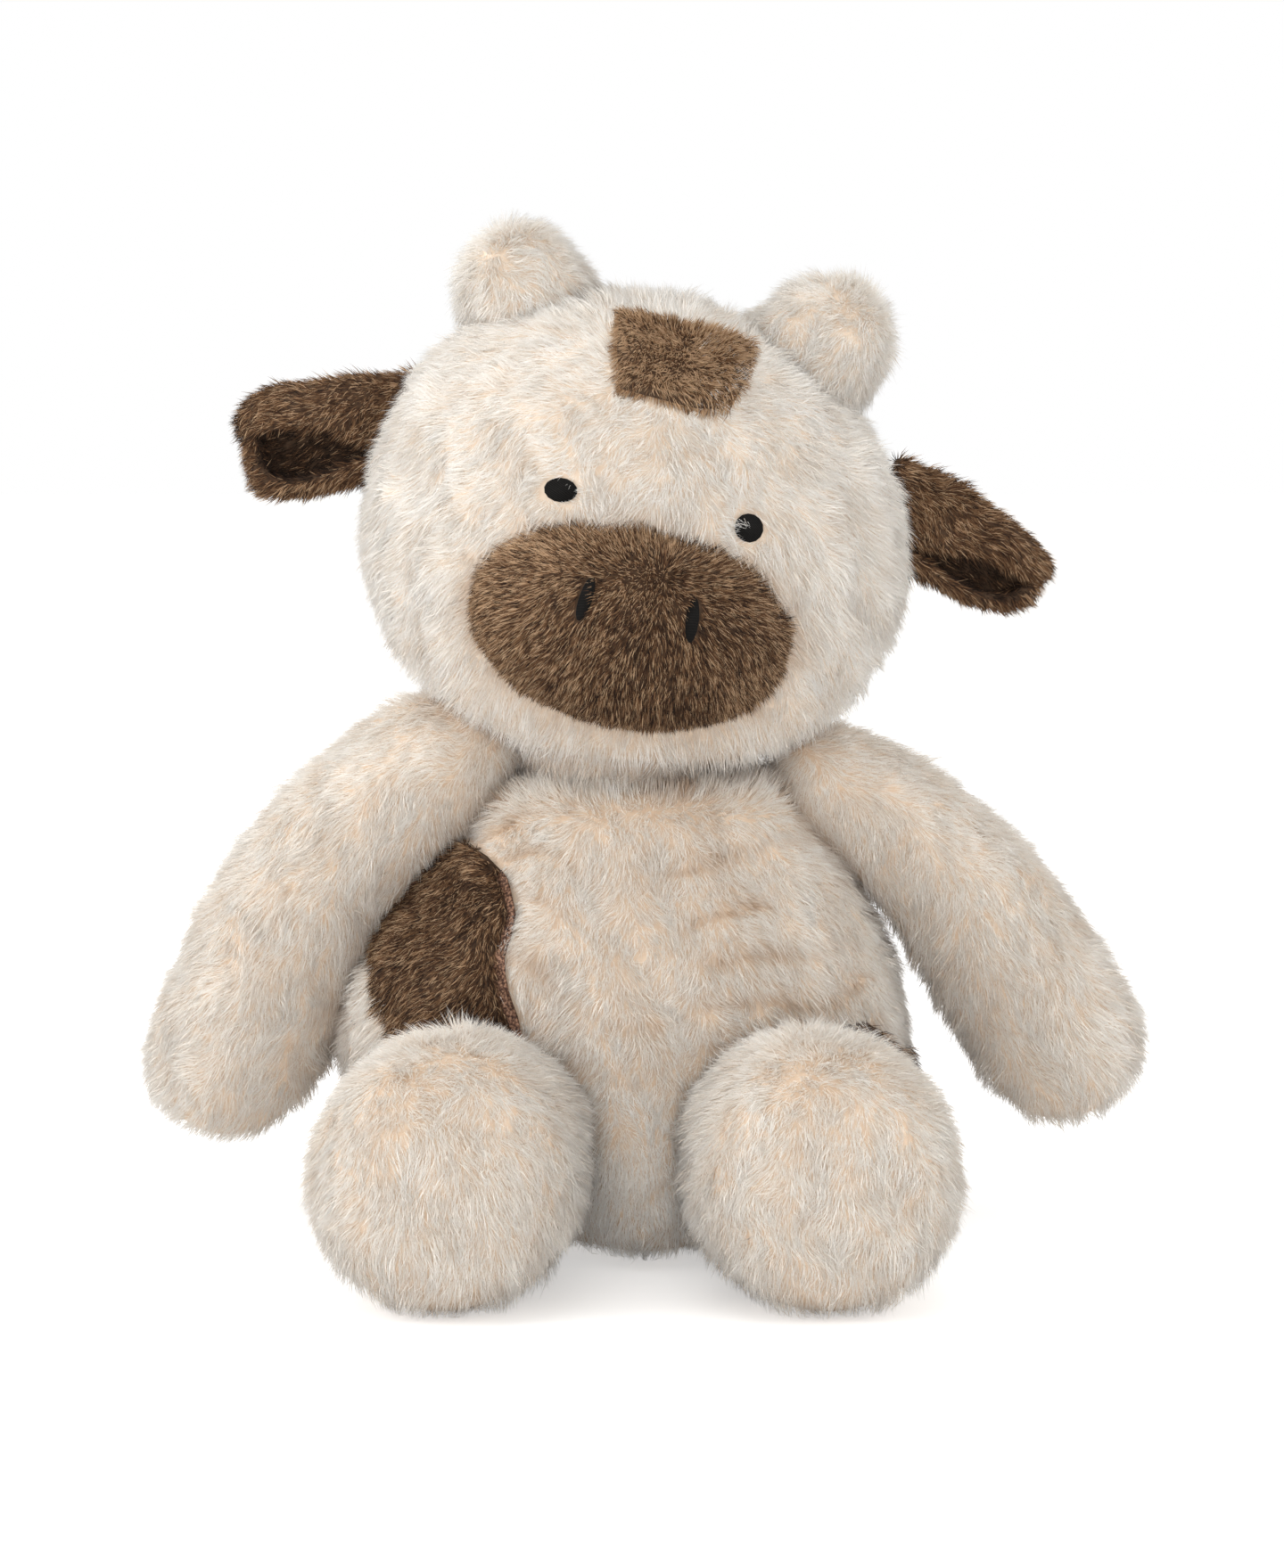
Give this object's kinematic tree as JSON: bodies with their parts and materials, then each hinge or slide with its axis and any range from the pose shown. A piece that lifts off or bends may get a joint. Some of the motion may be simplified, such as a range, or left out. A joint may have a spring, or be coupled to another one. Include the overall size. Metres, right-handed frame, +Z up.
{
  "type": "plush cow",
  "caption": "Sitting soft toy cow with a big round head, knob horns, folded ears, drooping arms, rounded feet and a padded muzzle.",
  "frame": {"origin": "on the floor, at the middle of the flat-cut seat under the body", "axes": "+Z up, the cow faces -Y, its own left side is at +X"},
  "size_m": [0.2574, 0.2178, 0.2605],
  "materials": {
    "cream_pile": "long cream pile fabric, matt",
    "cream_head_pile": "long pale cream pile fabric, matt",
    "brown_pile": "short brown pile fabric with lighter tips",
    "copper_thread": "copper brown satin-stitch thread, slight sheen",
    "black_thread": "black satin-stitch thread, slight sheen",
    "fibrefill": "white loose fibre filling",
    "pouch_cloth": "plain woven inner bag"
  },
  "bodies": {
    "body": {"body_cover": "cream_pile", "body_stuffing": "fibrefill", "pellet_pouch": "pouch_cloth", "side_patch": "brown_pile", "side_patch_edging": "copper_thread", "hip_patch": "brown_pile"},
    "arm_left": {"arm_left": "cream_pile", "arm_left_stuffing": "fibrefill"},
    "arm_right": {"arm_right": "cream_pile", "arm_right_stuffing": "fibrefill"},
    "leg_left": {"leg_left": "cream_pile", "leg_left_stuffing": "fibrefill"},
    "leg_right": {"leg_right": "cream_pile", "leg_right_stuffing": "fibrefill"},
    "ear_left": {"ear_left": "brown_pile"},
    "ear_right": {"ear_right": "brown_pile"},
    "tail": {"tail": "cream_pile", "tail_tuft": "brown_pile"},
    "neck": {"neck_stuffing": "fibrefill"},
    "head": {"head_cover": "cream_head_pile", "head_stuffing": "fibrefill", "muzzle": "brown_pile", "eye_left": "black_thread", "nostril_left": "black_thread", "eye_right": "black_thread", "nostril_right": "black_thread", "forehead_patch": "brown_pile", "horn_left": "cream_head_pile", "horn_right": "cream_head_pile"}
  },
  "joints": [
    {"name": "head_turn", "type": "hinge", "parent": "body", "child": "neck", "pos_m": [-0.005, -0.002, 0.132], "axis": [0, 0, 1], "range_deg": [-20, 20]},
    {"name": "head_tilt", "type": "hinge", "parent": "neck", "child": "head", "pos_m": [-0.005, -0.002, 0.132], "axis": [0, 1, 0], "range_deg": [-4, 1.5]},
    {"name": "arm_lift_left", "type": "hinge", "parent": "body", "child": "arm_left", "pos_m": [0.0485, 0, 0.1132], "axis": [0, -1, 0], "range_deg": [0, 40]},
    {"name": "arm_lift_right", "type": "hinge", "parent": "body", "child": "arm_right", "pos_m": [-0.0497, 0, 0.114], "axis": [0, 1, 0], "range_deg": [0, 40]},
    {"name": "leg_splay_left", "type": "hinge", "parent": "body", "child": "leg_left", "pos_m": [0.034, -0.039, 0.032], "axis": [0, 0, 1], "range_deg": [-4, 25]},
    {"name": "leg_splay_right", "type": "hinge", "parent": "body", "child": "leg_right", "pos_m": [-0.039, -0.039, 0.032], "axis": [0, 0, -1], "range_deg": [-4, 25]},
    {"name": "ear_flap_left", "type": "hinge", "parent": "head", "child": "ear_left", "pos_m": [0.06446, -0.00437, 0.18394], "axis": [-0.0087, -0.0005, 1], "range_deg": [-18, 18], "stiffness_Nm_per_rad": 0.03},
    {"name": "ear_flap_right", "type": "hinge", "parent": "head", "child": "ear_right", "pos_m": [-0.06316, -0.01106, 0.20484], "axis": [-0.3982, -0.0209, -0.9171], "range_deg": [-18, 18], "stiffness_Nm_per_rad": 0.03},
    {"name": "tail_swing", "type": "hinge", "parent": "body", "child": "tail", "pos_m": [0, 0.0578, 0.05], "axis": [0, 1, 0], "range_deg": [-35, 35]}
  ]
}
